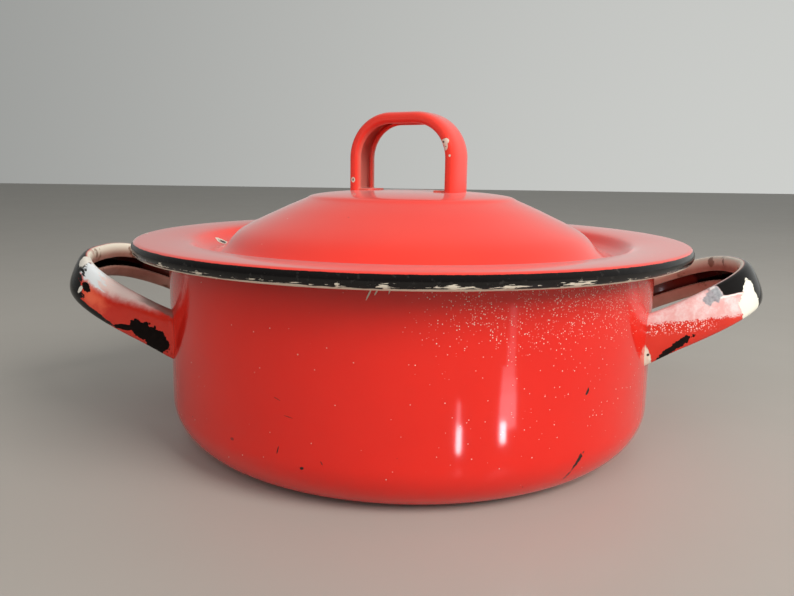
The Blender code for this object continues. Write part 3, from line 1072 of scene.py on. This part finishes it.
def right_handle_enamel():
    """Black at the end with a wide chip, and rubbed to a speckled pink on the front leg."""
    g = Graph("right_handle_enamel")
    places = strap_places(g, -1.0)
    along, across, out = places
    colour, lips = worn_strap(g, across, out)
    ragged = g.wobble(500.0, 1.6, 4.0)
    colour, worn = right_front_leg(g, colour, places, ragged, lips)
    colour, black = right_black_end(g, colour, places, ragged, lips)
    # A wide chip across the outer corner, down to the cream coat
    chipped = g.step(g.patches(along, across, RIGHT_CHIPS), 0.0, 0.05)
    colour = g.mix(chipped, colour, (0.93, 0.90, 0.78))
    # A knock down to the steel along the lower edge near the wall, and one behind
    bare = g.step(g.patches(along, across, RIGHT_KNOCKS), 0.0, 0.06)
    colour = g.mix(bare, colour, g.mix(g.noise(600.0, 4.0), (0.004, 0.003, 0.003), (0.02, 0.012, 0.011)))
    # The enamel has cracked away round the root
    crack = g.times(
        g.step(g.add(along, g.times(ragged, 0.6)), 66.5, 66.9), g.step(across, 1.6, 0.8)
    )
    pit = g.step(g.patch(along, across, (67.2, -4.6), (0.5, 0.5), 0, 0.2), 0.0, 0.2)
    colour = g.mix(crack, colour, (0.86, 0.80, 0.66))
    colour = g.mix(pit, colour, STEEL)
    lost = g.most(bare, chipped, crack)
    roughness = g.add(0.13, g.times(worn, 0.22), g.times(lost, 0.40), g.times(lips, 0.25))
    dull = g.most(g.times(black, 0.2), g.times(bare, 0.42))
    return g.finish(colour, lost, roughness, peel=0.00003, dull=dull)


def floor_paint():
    """A plain pale grey brown."""
    g = Graph("floor_paint")
    colour = g.mix(g.noise(6.0, 4.0), (0.41, 0.385, 0.35), (0.46, 0.435, 0.395))
    g.feed(g.shader.inputs["Base Color"], colour)
    g.feed(g.shader.inputs["Roughness"], g.add(0.45, g.times(g.noise(40.0, 3.0), 0.1)))
    return g.material


def add_piece(name, mesh, materials, body, node):
    """An object that rides a body and stands for one node of the frame."""
    for material in materials:
        mesh.materials.append(material)
    obj = bpy.data.objects.new(name, mesh)
    bpy.context.scene.collection.objects.link(obj)
    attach(obj, body)
    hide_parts(node)
    return obj


def build_pot():
    inside = inside_enamel("pot_inside_enamel", True)
    mesh = turned_mesh("pot", pot_sections())
    add_piece("pot", mesh, [pot_outside(), inside], "pot", "pot_shell")
    for side, turn, roll, material in (
        ("right", RIGHT_TURN, RIGHT_ROLL, right_handle_enamel()),
        ("left", math.pi, 0.0, left_handle_enamel()),
    ):
        mesh = side_loop_mesh(side + "_loop", roll)
        mesh.transform(Matrix.Rotation(turn, 4, "Z"))
        add_piece(
            side + "_loop", mesh, [material], "pot", side + "_side_handle"
        )


def build_lid():
    mesh = turned_mesh("lid", lid_sections())
    materials = [inside_enamel("lid_inside_enamel", False), lid_outside()]
    add_piece("lid", mesh, materials, "lid", "lid_shell")
    mesh = arch_mesh()
    mesh.transform(Matrix.Translation((ARCH_SHIFT, 0, 0)) @ Matrix.Rotation(ARCH_TURN, 4, "Z"))
    add_piece("arch", mesh, [arch_enamel()], "lid", "lid_handle")


def build_camera():
    """A camera in front of the pot that looks down by its pitch, with a small yaw and roll."""
    level = math.cos(CAMERA_PITCH)
    forward = Vector(
        (math.sin(CAMERA_YAW) * level, math.cos(CAMERA_YAW) * level, -math.sin(CAMERA_PITCH))
    )
    level_right = Vector((math.cos(CAMERA_YAW), -math.sin(CAMERA_YAW), 0))
    level_down = forward.cross(level_right)
    right = level_right * math.cos(CAMERA_ROLL) + level_down * math.sin(CAMERA_ROLL)
    down = level_down * math.cos(CAMERA_ROLL) - level_right * math.sin(CAMERA_ROLL)
    data = bpy.data.cameras.new("camera")
    data.sensor_width = CAMERA_SENSOR
    data.lens = CAMERA_LENS
    data.clip_start = 0.01
    camera = bpy.data.objects.new("camera", data)
    rotation = Matrix((right, -down, -forward)).transposed()
    camera.matrix_world = Matrix.Translation(CAMERA_PLACE) @ rotation.to_4x4()
    bpy.context.scene.collection.objects.link(camera)
    bpy.context.scene.camera = camera


def around_the_pot(azimuth, elevation, distance):
    """A place seen from the pot at an azimuth from the front, positive to the right."""
    turn = math.radians(azimuth)
    rise = math.radians(elevation)
    level = distance * math.cos(rise)
    return (level * math.sin(turn), -level * math.cos(turn), distance * math.sin(rise))


def area(name, location, target, size, power, colour):
    """A rectangular light that faces its target."""
    data = bpy.data.lights.new(name, "AREA")
    data.shape = "RECTANGLE"
    data.size, data.size_y = size
    data.energy = power
    data.color = colour
    light = bpy.data.objects.new(name, data)
    light.location = location
    light.rotation_euler = (Vector(target) - Vector(location)).to_track_quat("-Z", "Y").to_euler()
    bpy.context.scene.collection.objects.link(light)
    return light


def world_light():
    """A plain room: a pale wall behind, brighter to the right, and dim in front and overhead."""
    world = bpy.data.worlds.new("studio")
    world.use_nodes = True
    tree = world.node_tree
    background = tree.nodes["Background"]
    background.inputs["Color"].default_value = WORLD_COLOUR
    direction = tree.nodes.new("ShaderNodeSeparateXYZ")
    tree.links.new(tree.nodes.new("ShaderNodeTexCoord").outputs["Generated"], direction.inputs[0])
    shares = []
    for axis, (low, high) in enumerate(WORLD_SHARES):
        ramp = tree.nodes.new("ShaderNodeMapRange")
        ramp.inputs["From Min"].default_value = -1.0
        ramp.inputs["To Min"].default_value = low
        ramp.inputs["To Max"].default_value = high
        tree.links.new(direction.outputs[axis], ramp.inputs["Value"])
        shares.append(ramp.outputs[0])
    strength = shares[0]
    for share in shares[1:]:
        product = tree.nodes.new("ShaderNodeMath")
        product.operation = "MULTIPLY"
        tree.links.new(strength, product.inputs[0])
        tree.links.new(share, product.inputs[1])
        strength = product.outputs[0]
    tree.links.new(strength, background.inputs["Strength"])
    bpy.context.scene.world = world


def build_floor():
    bm = bmesh.new()
    bmesh.ops.create_grid(bm, x_segments=1, y_segments=1, size=FLOOR_REACH)
    mesh = mesh_from(bm, "floor")
    mesh.materials.append(floor_paint())
    floor = bpy.data.objects.new("floor", mesh)
    bpy.context.scene.collection.objects.link(floor)


def build_lights():
    """Soft lights that don't show as reflections, and panes low at the front right that only do."""
    for name, azimuth, elevation, distance, size, power, colour in LIGHTS:
        place = around_the_pot(azimuth, elevation, distance)
        light = area(name, place, LIGHT_TARGET, size, power, colour)
        light.visible_glossy = False
    for angle, radius, width, low, high, radiance in PANES:
        turn = math.radians(angle)
        height = (low + high) / 2
        place = (radius * math.sin(turn), -radius * math.cos(turn), height)
        size = (width, high - low)
        power = radiance * math.pi * size[0] * size[1]
        pane = area("pane", place, (0, 0, height), size, power, PANE_COLOUR)
        pane.visible_camera = False
        pane.visible_diffuse = False


def main():
    build_pot()
    build_lid()
    build_floor()
    world_light()
    build_lights()
    build_camera()
    bpy.context.scene.view_settings.view_transform = "Standard"


main()
